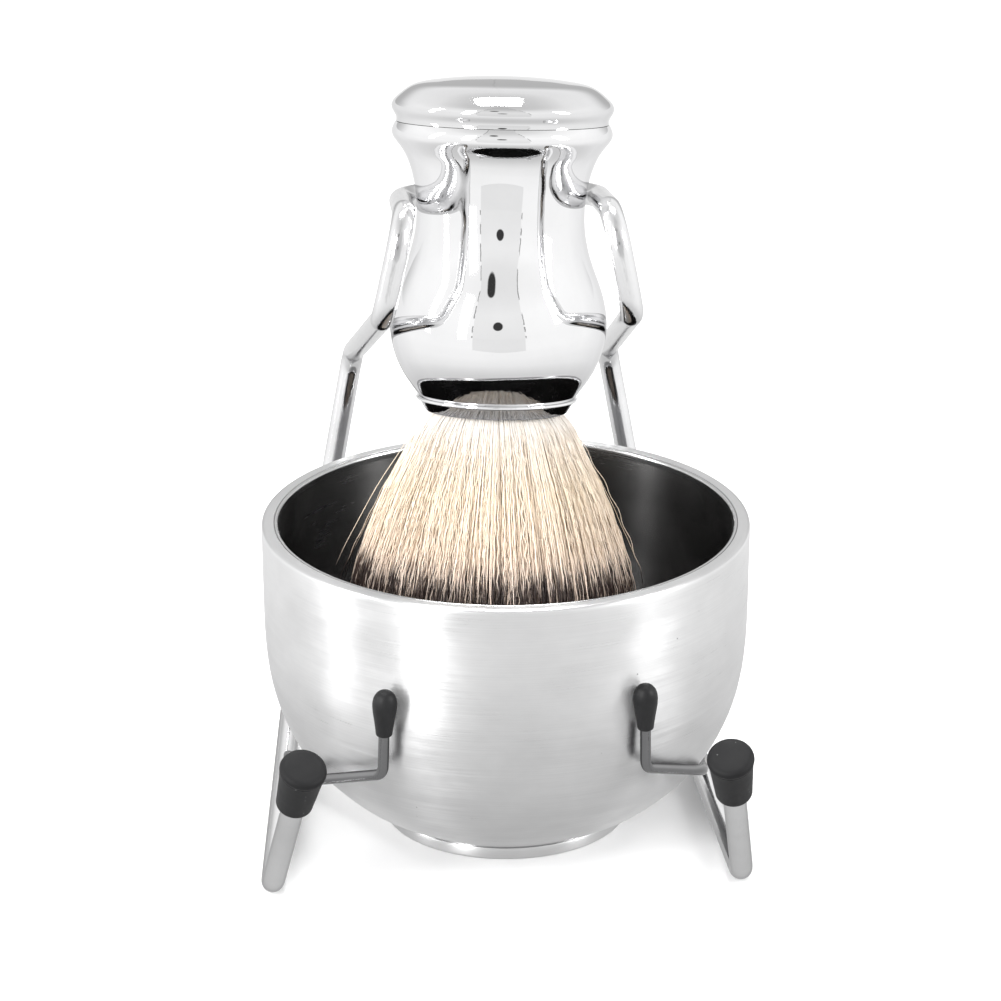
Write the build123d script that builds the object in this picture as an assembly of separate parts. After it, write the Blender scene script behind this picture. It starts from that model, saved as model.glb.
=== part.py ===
from build123d import *
import math
import os

# Shaving set: double-skinned steel lather bowl, weighted brush and bent-wire stand.
# Millimetres. +Z up, front is -Y, right is +X; z = 0 is the table under the foot ring and the
# floor rails. The bowl is built about its own axis and the stand about the middle of its rails.
# Saving then puts the origin at the centre of the set's footprint.

# ---------------------------------------------------------------- driving sizes
bowl_r = 98.0 / 2         # outside radius over the rim
bowl_h = 64.0             # rim height above the table
skin_t = 0.8              # sheet thickness of both skins
rim_end_r = 46.45         # radius where the turned-in rim ends
rim_seam = 0.06           # seam between the rim's end and the liner's lip
foot_r = 25.0             # outside radius of the foot ring
foot_h = 4.3
foot_wall = 1.8

wire_d = 4.5              # main wire of the stand
prong_wire_d = 2.1        # thin wire of the bowl prongs
fit_gap = 0.05            # gap between pieces that are glued or pressed together
bore_gap = 0.03           # radial gap between a wire and the rubber pushed over it

back_tilt = 11.0          # degrees, the brush top leans to the rear
side_tilt = 1.95          # degrees, the brush top leans to +X
neck_t = 41.3             # height on the brush axis that sits in the fork
neck_centre = Vector(-0.4, 9.3, 128.3)

bowl_offset = Vector(0.67, 1.12, 0)                # bowl axis to footprint centre
stand_offset = bowl_offset + Vector(-1.85, 0, 0)   # the loose bowl stands right of the middle


# ---------------------------------------------------------------- lathe helpers
def corners(*points):
    """Straight edges through (r, z) points."""
    points = [Vector(r, 0, z) for r, z in points]
    return [Edge.make_line(a, b) for a, b in zip(points, points[1:])]


def spline(*points):
    """One smooth edge through (r, z) points."""
    return [Edge.make_spline([Vector(r, 0, z) for r, z in points])]


def lathe(*runs):
    """Solid of revolution about Z from runs of edges that close an outline."""
    return revolve(Face(Wire(sum(runs, []))), axis=Axis.Z)


def offset_run(run, dist):
    """Points moved by dist to the left of the direction of travel."""
    moved = []
    for i, (r, z) in enumerate(run):
        before = run[max(i - 1, 0)]
        after = run[min(i + 1, len(run) - 1)]
        dr = after[0] - before[0]
        dz = after[1] - before[1]
        length = math.hypot(dr, dz)
        moved.append((r - dz / length * dist, z + dr / length * dist))
    return moved


# ---------------------------------------------------------------- wire helpers
def toward(start, end):
    return (end - start).normalized()


def both_sides(stations):
    """Right run and its mirror image, from (right-hand point, sideways shift of the pair)."""
    right = [Vector(x + shift, y, z) for (x, y, z), shift in stations]
    left = [Vector(shift - x, y, z) for (x, y, z), shift in stations]
    return right, left


def bent_wire(points, bends, dia):
    """Round wire of straight runs joined by tangent arcs: one bend radius per inner point."""
    edges = []
    cursor = points[0]
    for before, corner, after, bend in zip(points, points[1:], points[2:], bends):
        dir_in = toward(before, corner)
        dir_out = toward(corner, after)
        half_turn = math.acos(dir_in.dot(dir_out)) / 2
        reach = bend * math.tan(half_turn)
        arc_start = corner - dir_in * reach
        arc_end = corner + dir_out * reach
        inward = toward(dir_in, dir_out)
        arc_mid = corner + inward * (bend / math.cos(half_turn) - bend)
        if (arc_start - cursor).length > 1e-4:   # arcs that meet need no line between them
            edges.append(Edge.make_line(cursor, arc_start))
        edges.append(Edge.make_three_point_arc(arc_start, arc_mid, arc_end))
        cursor = arc_end
    edges.append(Edge.make_line(cursor, points[-1]))
    start = Plane(origin=points[0], z_dir=toward(points[0], points[1]))
    return sweep(start * Circle(dia / 2), path=Wire(edges))


def pushed_on(rubber, bore_depth, wire_run):
    """Rubber piece, open end at z = 0, pushed over the first point of a wire run."""
    outward = toward(wire_run[1], wire_run[0])
    base = wire_run[0] - outward * (bore_depth - fit_gap)
    return Plane(origin=base, z_dir=outward) * rubber


# ---------------------------------------------------------------- bowl
shell_flat_r = foot_r - 0.1      # flat bottom of the outer skin
# (r, z) on the outside of the outer skin, from the foot up to just below the rim.
shell_side = [
    (shell_flat_r, foot_h), (28.2, 4.95), (31.4, 6.5), (34.9, 9.2), (38.0, 12.2), (40.75, 15.3),
    (42.85, 18.4), (44.5, 21.6), (45.85, 24.8), (46.95, 28.2), (47.72, 31.6), (48.25, 35.0),
    (48.58, 38.5), (48.78, 42.5), (48.86, 47.0), (48.9, 52.0), (48.94, 58.0),
    (bowl_r, bowl_h - 0.9)]

liner_lip_r = rim_end_r - rim_seam
liner_lip_z = bowl_h - 0.55      # where the lip starts
liner_floor_z = 8.1
# (r, z) on the inside of the inner skin, from the lip down to the axis.
liner_side = [
    (45.6, liner_lip_z), (45.55, 58.0), (45.45, 52.0), (45.15, 46.0), (44.6, 40.0), (43.7, 34.5),
    (42.3, 29.0), (40.2, 23.8), (37.2, 19.0), (33.0, 14.8), (27.0, 11.2), (19.0, 9.0),
    (9.0, 8.2), (0, liner_floor_z)]


def bowl_outer_shell():
    inside = offset_run(shell_side, skin_t)
    inside[0] = (shell_flat_r, foot_h + skin_t)
    inside[-1] = (bowl_r - skin_t, bowl_h - 1.1)
    return lathe(
        corners((0, foot_h), shell_side[0]),
        spline(*shell_side),
        # rounded shoulder of the rim
        spline(shell_side[-1], (bowl_r - 0.12, bowl_h - 0.42), (bowl_r - 0.42, bowl_h - 0.12),
               (bowl_r - 0.9, bowl_h)),
        # turned-in rim
        corners((bowl_r - 0.9, bowl_h), (rim_end_r + 0.12, bowl_h), (rim_end_r, bowl_h - 0.12),
                (rim_end_r, bowl_h - skin_t), (bowl_r - skin_t - 0.6, bowl_h - skin_t),
                inside[-1]),
        spline(*inside[::-1]),
        corners(inside[0], (0, foot_h + skin_t), (0, foot_h)))


def bowl_inner_liner():
    """Inner skin, whose lip fills the opening left by the turned-in rim."""
    outside = offset_run(liner_side, skin_t)
    outside[0] = (liner_lip_r, liner_lip_z)
    outside[-1] = (0, liner_floor_z - skin_t)
    return lathe(
        spline(*liner_side),
        corners(liner_side[-1], outside[-1]),
        spline(*outside[::-1]),
        corners(outside[0], (liner_lip_r, bowl_h - 0.12), (liner_lip_r - 0.12, bowl_h),
                (46.0, bowl_h), (45.72, bowl_h - 0.2), liner_side[0]))


def bowl_foot_ring():
    """Ring with eased bottom edges and a fine V groove around the outside."""
    inner_r = foot_r - foot_wall
    return lathe(corners(
        (inner_r, 0.35), (inner_r + 0.35, 0), (foot_r - 0.6, 0), (foot_r - 0.18, 0.18),
        (foot_r, 0.6), (foot_r, 2.5), (foot_r - 0.25, 2.72), (foot_r, 2.94), (foot_r, foot_h),
        (inner_r, foot_h), (inner_r, 0.35)))


def bowl_base_disc():
    """Sheet disc inside the foot ring, with a raised middle."""
    disc_r = foot_r - foot_wall - fit_gap
    return lathe(corners(
        (0, 1.9), (15.6, 1.9), (17.2, 1.1), (disc_r, 1.1), (disc_r, 1.9), (17.6, 1.9),
        (16.0, 2.7), (0, 2.7), (0, 1.9)))


# ---------------------------------------------------------------- stand
toe_face = Vector(40.3, -58.0, 37.1)             # centre of the right rubber cap's closed face
front_bend = Vector(46.4, -38.1, wire_d / 2)     # on the table
rear_bend = Vector(41.6, 53.6, wire_d / 2)       # on the table
upright_top = Vector(27.1, 57.2, 80.3)
elbow_low = Vector(24.0, -17.2, 112.2)
elbow_up = Vector(19.8, -18.2, 132.6)
fork_half = 19.6                                 # half the wire spacing at the fork's rear
fork_back_y = 29.0
fork_drop = (fork_back_y - elbow_up.Y) * math.tan(math.radians(back_tilt - 0.4))
fork_rear = Vector(fork_half, fork_back_y, elbow_up.Z - fork_drop)

cap_len = 12.3
cap_end_t = 1.85                                 # thickness of the cap's closed end
wire_end = toe_face - toward(front_bend, toe_face) * (cap_end_t + fit_gap)

# The bends are a little uneven, as hand-bent wire is: the fork, toes and prongs are shifted
# to the right of the middle of the rails.
fork_shift = 1.45
toe_shift = 0.6
prong_shift = 0.93

# Main wire, (point, sideways shift) from the toe to the rear of the fork.
frame_right, frame_left = both_sides([
    (wire_end, toe_shift),
    (front_bend, 0),
    (rear_bend, 0),
    (upright_top, 0),
    (elbow_low, 0.9 * fork_shift),
    (elbow_up, fork_shift),
    (fork_rear, fork_shift)])
frame_bends = [6.5, 7.5, 6.5, 6.5, 7.0, fork_half - 0.15]

# Thin arm, (point, sideways shift) from the prong's tip to the end welded over the rail.
arm_right, arm_left = both_sides([
    ((24.95, -45.75, 44.4), prong_shift),
    ((25.4, -43.7, 28.4), prong_shift),
    ((38.95, -26.7, 19.5), 0.5),
    ((43.25, 4.0, 5.55), 0),
    ((42.6, 16.0, 5.55), 0)])
arm_bends = [3.2, 22.0, 8.0]

tip_len = 9.7
tip_bore_depth = 7.2

weld_ys = (9.0, 13.6)
weld_r = 1.55
weld_arm_share = 0.65     # weld centre, as a fraction of the way from rail to arm


def stand_frame():
    return bent_wire(frame_right + frame_left[::-1], frame_bends + frame_bends[::-1], wire_d)


def foot_cap(frame_run):
    """Rubber cap on a toe end of the main wire."""
    bore_r = wire_d / 2 + bore_gap
    bore_depth = cap_len - cap_end_t
    cap = lathe(
        corners((bore_r, 0), (3.35, 0), (3.55, 0.25), (3.65, 1.2)),
        spline((3.65, 1.2), (3.85, 4.2), (4.12, 7.7), (4.36, 10.4)),
        spline((4.36, 10.4), (4.5, 10.65), (4.55, 11.05), (4.38, 11.65), (3.95, 12.05),
               (3.3, 12.2)),
        spline((3.3, 12.2), (1.8, 12.28), (0, cap_len)),
        corners((0, cap_len), (0, bore_depth), (bore_r, bore_depth), (bore_r, 0)))
    return pushed_on(cap, bore_depth, frame_run)


def prong_tip(arm_run):
    """Rubber bulb on a prong's end."""
    bore_r = prong_wire_d / 2 + bore_gap
    bulb = lathe(
        corners((bore_r, 0), (1.45, 0), (1.62, 0.2)),
        spline((1.62, 0.2), (1.78, 1.7), (2.12, 4.0), (2.38, 6.0), (2.36, 7.3), (1.95, 8.6),
               (1.1, 9.46), (0, tip_len)),
        corners((0, tip_len), (0, tip_bore_depth), (bore_r, tip_bore_depth), (bore_r, 0)))
    return pushed_on(bulb, tip_bore_depth, arm_run)


def point_at_y(start, end, y):
    return start + (end - start) * ((y - start.Y) / (end.Y - start.Y))


def weld_beads(frame_run, arm_run, frame, arm):
    """Weld nuggets between a thin arm and the floor rail, cut clear of both wires."""
    beads = []
    for y in weld_ys:
        on_rail = point_at_y(frame_run[1], frame_run[2], y)
        on_arm = point_at_y(arm_run[3], arm_run[4], y)
        centre = on_rail * (1 - weld_arm_share) + on_arm * weld_arm_share
        bead = Pos(*centre) * Sphere(weld_r)
        bead = (bead - frame) - arm
        solids = sorted(bead.solids(), key=lambda solid: solid.volume)
        beads.append(solids[-1])
        # the wires can split a bead in two: keep the second piece unless it is a sliver
        if len(solids) > 1 and solids[-2].volume > 0.1 * solids[-1].volume:
            beads.append(solids[-2])
    return Compound(children=beads)


# ---------------------------------------------------------------- brush
# Each piece is turned about the brush axis. Profiles are (r, t), where t is the height above
# the ferrule's reference plane.
brush_axis = Vector(
    math.tan(math.radians(side_tilt)), math.tan(math.radians(back_tilt)), 1).normalized()
brush_plane = Plane(
    origin=neck_centre - brush_axis * neck_t,
    x_dir=Vector(1, 0, -brush_axis.X / brush_axis.Z),
    z_dir=brush_axis)

handle_base_t = 1.55
handle_top_t = 55.65
shoulder_t = 14.0         # top of the shoulder inside the handle
socket_r = 14.0           # bore at the bottom of the handle
mouth_r = 17.5            # bore at the top of the handle
seal_t = 53.6
seal_wire_r = 0.6
cup_bore_r = 11.9
cup_roof_t = 10.7         # underside of the knot cup's roof
ferrule_bore_r = 12.95
knot_root_t = 4.0
knot_loft = 51.3          # free bristle length below the reference plane

# Outside of the handle, from the ferrule up to the bead.
handle_side = [
    (15.5, handle_base_t), (16.58, 3.0), (17.65, 4.5), (18.64, 6.0), (19.44, 7.5), (20.1, 9.0),
    (20.61, 10.5), (21.0, 12.0), (21.3, 13.5), (21.46, 15.0), (21.5, 16.5), (21.4, 18.0),
    (21.18, 19.5), (20.85, 21.0), (20.42, 22.5), (19.9, 24.0), (19.32, 25.5), (18.74, 27.0),
    (18.2, 28.5), (17.72, 30.0), (17.34, 31.5), (17.02, 33.0), (16.79, 34.5), (16.65, 36.0),
    (16.6, 37.5), (16.62, 39.0), (16.7, 40.5), (16.87, 42.0), (17.12, 43.5), (17.45, 45.0),
    (17.88, 46.5), (18.43, 48.0), (19.15, 49.5), (20.18, 51.0)]
# Rounded bead at the top of the handle.
handle_bead = [
    (20.18, 51.0), (21.03, 52.1), (21.58, 53.0), (21.72, 53.8), (21.45, 54.8),
    (20.98, handle_top_t)]
# Outside of the cap, from its lower edge to the crown.
cap_side = [
    (20.9, 55.75), (20.86, 56.2), (21.12, 57.0), (21.62, 57.85), (21.86, 58.7), (21.52, 59.7),
    (20.7, 60.6), (19.72, 61.45), (18.75, 62.17), (17.55, 62.82), (15.8, 63.35), (13.4, 63.74),
    (10.6, 64.08), (7.4, 64.35), (3.8, 64.53), (0, 64.6)]
# Outside of the bristles, from the ferrule down to the domed tips.
knot_side = [
    (13.0, -1.6), (14.2, -2.9), (17.2, -8.4), (21.1, -16.4), (24.3, -24.6), (26.8, -32.0),
    (28.1, -38.0), (28.3, -42.2), (26.5, -46.1), (21.7, -49.0), (12.4, -50.8), (0, -knot_loft)]


def handle_body():
    return lathe(
        spline(*handle_side),
        spline(*handle_bead),
        corners(handle_bead[-1], (mouth_r, handle_top_t), (mouth_r, 50.6), (15.0, 48.1),
                (15.0, shoulder_t), (socket_r, 13.0), (socket_r, handle_base_t),
                handle_side[0]))


def handle_cap():
    """Domed cap, with a grooved spigot that enters the handle's mouth."""
    spigot_r = mouth_r - fit_gap
    groove_r = 16.22
    groove_low = seal_t - 0.7
    groove_high = seal_t + 0.7
    return lathe(
        spline(*cap_side),
        corners(cap_side[-1], (0, 62.0), (14.4, 60.9), (15.4, 59.6), (15.4, 51.4),
                (spigot_r - 0.3, 51.4), (spigot_r, 51.7), (spigot_r, groove_low),
                (groove_r, groove_low), (groove_r, groove_high), (spigot_r, groove_high),
                (spigot_r, 55.75), cap_side[0]))


def cap_seal_ring():
    return Pos(0, 0, seal_t) * Torus(mouth_r - fit_gap - seal_wire_r, seal_wire_r)


def handle_weight():
    """Ballast slug resting on the shoulder inside the handle, with a recess in its top."""
    base_t = shoulder_t + fit_gap
    return lathe(corners(
        (0, base_t), (14.2, base_t), (14.92, 14.8), (14.92, 33.0), (14.2, 33.7), (4.0, 33.7),
        (4.0, 31.5), (0, 31.5), (0, base_t)))


def ferrule_ring():
    """Lip against the handle, cone below it and spigot inside the handle's socket."""
    spigot_r = socket_r - fit_gap
    lip_t = handle_base_t - fit_gap
    return lathe(corners(
        (13.35, -1.3), (14.05, -1.3), (14.2, -1.2), (15.4, 0.8), (15.75, 0.85), (16.0, 1.02),
        (16.0, 1.3), (15.85, lip_t), (spigot_r, lip_t), (spigot_r, 7.0), (ferrule_bore_r, 7.0),
        (ferrule_bore_r, -0.7), (13.35, -1.3)))


def knot_cup():
    outer_r = ferrule_bore_r - fit_gap
    return lathe(corners(
        (cup_bore_r, -0.3), (outer_r, -0.3), (outer_r, 7.6), (13.6, 7.6), (13.6, 12.2),
        (0, 12.2), (0, cup_roof_t), (cup_bore_r, cup_roof_t), (cup_bore_r, -0.3)))


def knot_resin():
    """Plug of resin between the bristle roots and the cup's roof."""
    resin_r = cup_bore_r - fit_gap
    low_t = knot_root_t + fit_gap
    high_t = cup_roof_t - fit_gap
    return lathe(corners(
        (0, low_t), (resin_r, low_t), (resin_r, high_t), (0, high_t), (0, low_t)))


def bristle_knot():
    """Bristle bundle rooted in the cup, fanning out below the ferrule."""
    return lathe(
        corners((0, knot_root_t), (11.8, knot_root_t), (11.8, -0.2), (12.6, -1.0), knot_side[0]),
        spline(*knot_side),
        corners(knot_side[-1], (0, knot_root_t)))


# ---------------------------------------------------------------- one STEP file per piece
def save(name, shape, offset):
    solids = [Pos(*offset) * solid for solid in shape.solids()]
    placed = solids[0] if len(solids) == 1 else Compound(children=solids)
    placed.label = name
    export_step(placed, f"parts/{name}.step")


os.makedirs("parts", exist_ok=True)

for build in (bowl_outer_shell, bowl_inner_liner, bowl_foot_ring, bowl_base_disc):
    save(build.__name__, build(), bowl_offset)

frame = stand_frame()
save("stand_frame", frame, stand_offset)
for side, frame_run, arm_run in (("right", frame_right, arm_right),
                                 ("left", frame_left, arm_left)):
    arm = bent_wire(arm_run, arm_bends, prong_wire_d)
    save(f"foot_cap_{side}", foot_cap(frame_run), stand_offset)
    save(f"prong_arm_{side}", arm, stand_offset)
    save(f"prong_tip_{side}", prong_tip(arm_run), stand_offset)
    save(f"weld_beads_{side}", weld_beads(frame_run, arm_run, frame, arm), stand_offset)

for build in (handle_body, handle_cap, cap_seal_ring, handle_weight, ferrule_ring, knot_cup,
              knot_resin, bristle_knot):
    save(build.__name__, brush_plane * build(), bowl_offset)
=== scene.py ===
"""A shaving set: a steel bowl, and a brush held in the fork of a bent wire stand.

The bowl stands upright on the floor. +X is to the right, the front faces -Y and +Z is up.
Lengths are in mm until they become mesh points, which are in metres. The brush has its own
frame: Z runs along its axis towards the cap, and the fibres hang on the -Z side.
"""
import math

import bmesh
import bpy
import numpy as np
from mathutils import Matrix, Vector


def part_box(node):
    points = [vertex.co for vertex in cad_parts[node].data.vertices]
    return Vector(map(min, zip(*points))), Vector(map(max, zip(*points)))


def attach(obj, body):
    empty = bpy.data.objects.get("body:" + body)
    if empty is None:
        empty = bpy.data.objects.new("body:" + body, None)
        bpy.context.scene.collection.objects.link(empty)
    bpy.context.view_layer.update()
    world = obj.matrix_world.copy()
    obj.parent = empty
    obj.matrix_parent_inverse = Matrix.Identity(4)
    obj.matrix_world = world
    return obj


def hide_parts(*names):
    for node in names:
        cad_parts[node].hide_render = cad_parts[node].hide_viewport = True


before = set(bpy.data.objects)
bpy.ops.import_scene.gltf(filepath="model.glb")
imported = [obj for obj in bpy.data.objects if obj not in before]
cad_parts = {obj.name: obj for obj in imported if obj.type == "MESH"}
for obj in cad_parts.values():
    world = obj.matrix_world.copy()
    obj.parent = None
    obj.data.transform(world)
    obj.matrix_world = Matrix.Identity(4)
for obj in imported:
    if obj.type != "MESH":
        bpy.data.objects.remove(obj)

MM = 0.001
TURN = 2 * math.pi
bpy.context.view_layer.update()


# ------------------------------------------------------------------ places from the CAD pieces
def centre(node):
    lo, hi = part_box(node)
    return (lo + hi) / 2


def frame_matrix(x_axis, y_axis, z_axis, origin):
    """Matrix of a frame with the given axes and an origin in metres."""
    rows = [(x_axis[i], y_axis[i], z_axis[i], origin[i]) for i in range(3)]
    return Matrix([*rows, (0, 0, 0, 1)])


bowl_lo, bowl_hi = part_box("bowl_outer_shell")
BOWL_R = (bowl_hi.x - bowl_lo.x) / 2 / MM
BOWL_H = bowl_hi.z / MM
BOWL_CENTRE = Vector(((bowl_hi.x + bowl_lo.x) / 2, (bowl_hi.y + bowl_lo.y) / 2, 0))
BOWL_FRAME = Matrix.Translation(BOWL_CENTRE)

# How far the hand-bent parts of the stand sit to the right of the middle of its floor rails.
TOE_SHIFT = 0.6
FORK_SHIFT = 1.45
PRONG_SHIFT = 0.93
KNEE_SHIFT = 0.5
STAND_CENTRE = np.array((
    (centre("foot_cap_left").x + centre("foot_cap_right").x) / 2 / MM - TOE_SHIFT,
    BOWL_CENTRE.y / MM, 0.0))

# The brush axis runs through the middles of two symmetric pieces, at these heights along it.
RESIN_Z, SEAL_Z = 7.35, 53.6
resin_centre, seal_centre = centre("knot_resin"), centre("cap_seal_ring")
BRUSH_Z = (seal_centre - resin_centre).normalized()
BRUSH_ORIGIN = resin_centre - BRUSH_Z * (
    (seal_centre - resin_centre).length * RESIN_Z / (SEAL_Z - RESIN_Z))
BRUSH_X = (Vector((1, 0, 0)) - BRUSH_Z * BRUSH_Z.x).normalized()
BRUSH_Y = BRUSH_Z.cross(BRUSH_X).normalized()
BRUSH_FRAME = frame_matrix(BRUSH_X, BRUSH_Y, BRUSH_Z, BRUSH_ORIGIN)


# ------------------------------------------------------------------ outlines and paths
def curve(points, step=0.35):
    """Points along a natural cubic spline through the given points (mm)."""
    knots = np.array(points, float)
    count = len(knots)
    span = np.sqrt(((knots[1:] - knots[:-1]) ** 2).sum(1))
    system = np.zeros((count, count))
    right_side = np.zeros_like(knots)
    system[0, 0] = system[-1, -1] = 1
    for i in range(1, count - 1):
        system[i, i - 1] = span[i - 1]
        system[i, i] = 2 * (span[i - 1] + span[i])
        system[i, i + 1] = span[i]
        right_side[i] = 6 * ((knots[i + 1] - knots[i]) / span[i]
                             - (knots[i] - knots[i - 1]) / span[i - 1])
    bend = np.linalg.solve(system, right_side)
    out = []
    for i in range(count - 1):
        h = span[i]
        pieces = max(2, int(math.ceil(h / step)))
        for j in range(pieces):
            done = j / pieces * h
            left = h - done
            point = (bend[i] * left ** 3 + bend[i + 1] * done ** 3) / (6 * h) \
                + (knots[i] / h - bend[i] * h / 6) * left \
                + (knots[i + 1] / h - bend[i + 1] * h / 6) * done
            out.append(tuple(point))
    out.append(tuple(knots[-1]))
    return out


def outline(*runs):
    """Join runs of points into one closed outline without repeated points."""
    points = []
    for run in runs:
        for point in run:
            if not points or math.dist(points[-1], point) > 1e-4:
                points.append(tuple(point))
    if math.dist(points[0], points[-1]) < 1e-4:
        points.pop()
    return points


def offset_run(run, distance):
    """The run moved sideways, to the left of its direction of travel."""
    out = []
    for i, (r, z) in enumerate(run):
        before = run[max(i - 1, 0)]
        after = run[min(i + 1, len(run) - 1)]
        dr, dz = after[0] - before[0], after[1] - before[1]
        length = math.hypot(dr, dz)
        out.append((r - dz / length * distance, z + dr / length * distance))
    return out


def unit(vector):
    return vector / np.linalg.norm(vector)


def bent_path(points, radii, arc_step, line_step):
    """Centreline (mm) and tangents of a wire: straight runs joined by tangent arcs.

    There is one radius for each inner corner. arc_step is in degrees and line_step in mm.
    """
    corners = [np.array(p, float) for p in points]
    places, tangents = [], []

    def add_line(start, end):
        length = np.linalg.norm(end - start)
        if length < 1e-4:
            return
        direction = (end - start) / length
        count = max(1, int(math.ceil(length / line_step)))
        for i in range(count):
            places.append(start + direction * length * i / count)
            tangents.append(direction)

    current = corners[0]
    for before, corner, after, radius in zip(corners, corners[1:], corners[2:], radii):
        way_in, way_out = unit(corner - before), unit(after - corner)
        turn = math.acos(max(-1, min(1, float(way_in @ way_out))))
        reach = radius * math.tan(turn / 2)
        arc_start, arc_end = corner - way_in * reach, corner + way_out * reach
        add_line(current, arc_start)
        middle = corner + unit(way_out - way_in) * radius / math.cos(turn / 2)
        spoke = unit(arc_start - middle)
        count = max(3, int(math.ceil(math.degrees(turn) / arc_step)))
        for k in range(count):
            t = turn * k / count
            places.append(middle + (spoke * math.cos(t) + way_in * math.sin(t)) * radius)
            tangents.append(-spoke * math.sin(t) + way_in * math.cos(t))
        current = arc_end
    add_line(current, corners[-1])
    places.append(corners[-1])
    tangents.append(unit(corners[-1] - corners[-2]))
    return np.array(places), np.array(tangents)


# ------------------------------------------------------------------ meshes
def link(name, data):
    ob = bpy.data.objects.new(name, data)
    bpy.context.scene.collection.objects.link(ob)
    return ob


def solid_mesh(name, verts, faces):
    """Mesh of a closed solid, with its faces turned outwards."""
    mesh = bpy.data.meshes.new(name)
    mesh.from_pydata(verts, [], faces)
    bm = bmesh.new()
    bm.from_mesh(mesh)
    bmesh.ops.recalc_face_normals(bm, faces=bm.faces)
    bm.to_mesh(mesh)
    bm.free()
    return mesh


def smooth(ob, sharp_angle):
    for face in ob.data.polygons:
        face.use_smooth = True
    ob.data.set_sharp_from_angle(angle=math.radians(sharp_angle))
    return ob


def add_vectors(mesh, name, values):
    attribute = mesh.attributes.new(name, "FLOAT_VECTOR", "POINT")
    attribute.data.foreach_set("vector", np.array(values, np.float32).ravel())


def lathe(name, points, matrix, segments, sharp_angle=32):
    """Closed solid of revolution from an outline of (r, z) in mm."""
    verts, faces, rows = [], [], []
    for r, z in points:
        if r < 1e-4:
            rows.append([len(verts)])
            verts.append((0, 0, z * MM))
            continue
        rows.append(range(len(verts), len(verts) + segments))
        for k in range(segments):
            angle = TURN * k / segments
            verts.append((r * math.cos(angle) * MM, r * math.sin(angle) * MM, z * MM))
    for i, a in enumerate(rows):
        b = rows[(i + 1) % len(rows)]
        if len(a) == 1 and len(b) == 1:
            continue
        for k in range(segments):
            k2 = (k + 1) % segments
            if len(a) == 1:
                faces.append((a[0], b[k2], b[k]))
            elif len(b) == 1:
                faces.append((a[k], a[k2], b[0]))
            else:
                faces.append((a[k], a[k2], b[k2], b[k]))
    mesh = solid_mesh(name, verts, faces)
    mesh.transform(matrix)
    return smooth(link(name, mesh), sharp_angle)


def tube(name, places, tangents, radius, sides, rounding=0.25):
    """Closed round wire along a path (mm), with rounded end edges.

    Its 'ring' attribute holds (cos, sin, length in cm), which carries the drawn-wire marks.
    """
    # (distance along the wire, radius) of the rings that round off the start
    rounded = [(0.0, radius - rounding), (rounding * 0.3, radius - rounding * 0.3),
               (rounding, radius)]
    last = len(places) - 1
    start = tangents[0]
    up = np.array([0, 0, 1.0]) if abs(start[2]) < 0.9 else np.array([1.0, 0, 0])
    u = unit(np.cross(start, up))
    verts, rings, marks = [], [], []
    length = 0.0
    for i, (place, tangent) in enumerate(zip(places, tangents)):
        if i:
            length += np.linalg.norm(place - places[i - 1])
            u = unit(u - tangent * (u @ tangent))
        v = np.cross(tangent, u)
        steps = [(0.0, radius)]
        if i == 0:
            steps = rounded
        if i == last:
            steps = [(-along, r) for along, r in reversed(rounded)]
        for along, r in steps:
            rings.append(range(len(verts), len(verts) + sides))
            for k in range(sides):
                a = TURN * k / sides
                verts.append((place + tangent * along
                              + (u * math.cos(a) + v * math.sin(a)) * r) * MM)
                marks.append((math.cos(a), math.sin(a), length * 0.1))
    faces = []
    for a, b in zip(rings, rings[1:]):
        for k in range(sides):
            k2 = (k + 1) % sides
            faces.append((a[k], a[k2], b[k2], b[k]))
    for ring, place in ((rings[0], places[0]), (rings[-1], places[-1])):
        middle = len(verts)
        verts.append(place * MM)
        marks.append((0, 0, 0))
        for k in range(sides):
            k2 = (k + 1) % sides
            edge = (ring[k2], ring[k]) if ring is rings[0] else (ring[k], ring[k2])
            faces.append((middle, *edge))
    mesh = solid_mesh(name, [tuple(v) for v in verts], faces)
    add_vectors(mesh, "ring", marks)
    return smooth(link(name, mesh), 35)


def paint(ob, *materials):
    ob.data.materials.clear()
    for material in materials:
        ob.data.materials.append(material)


def fit(ob, part, slot, *materials, replaces=None):
    """Paint an object, parent it to the empty of the part it rides on, and hide the CAD piece it
    stands for.
    """
    paint(ob, *materials)
    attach(ob, part)
    if replaces:
        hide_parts(replaces)


# ------------------------------------------------------------------ shader nodes
def toned(colour, factor):
    return tuple(c * factor for c in colour)


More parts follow.
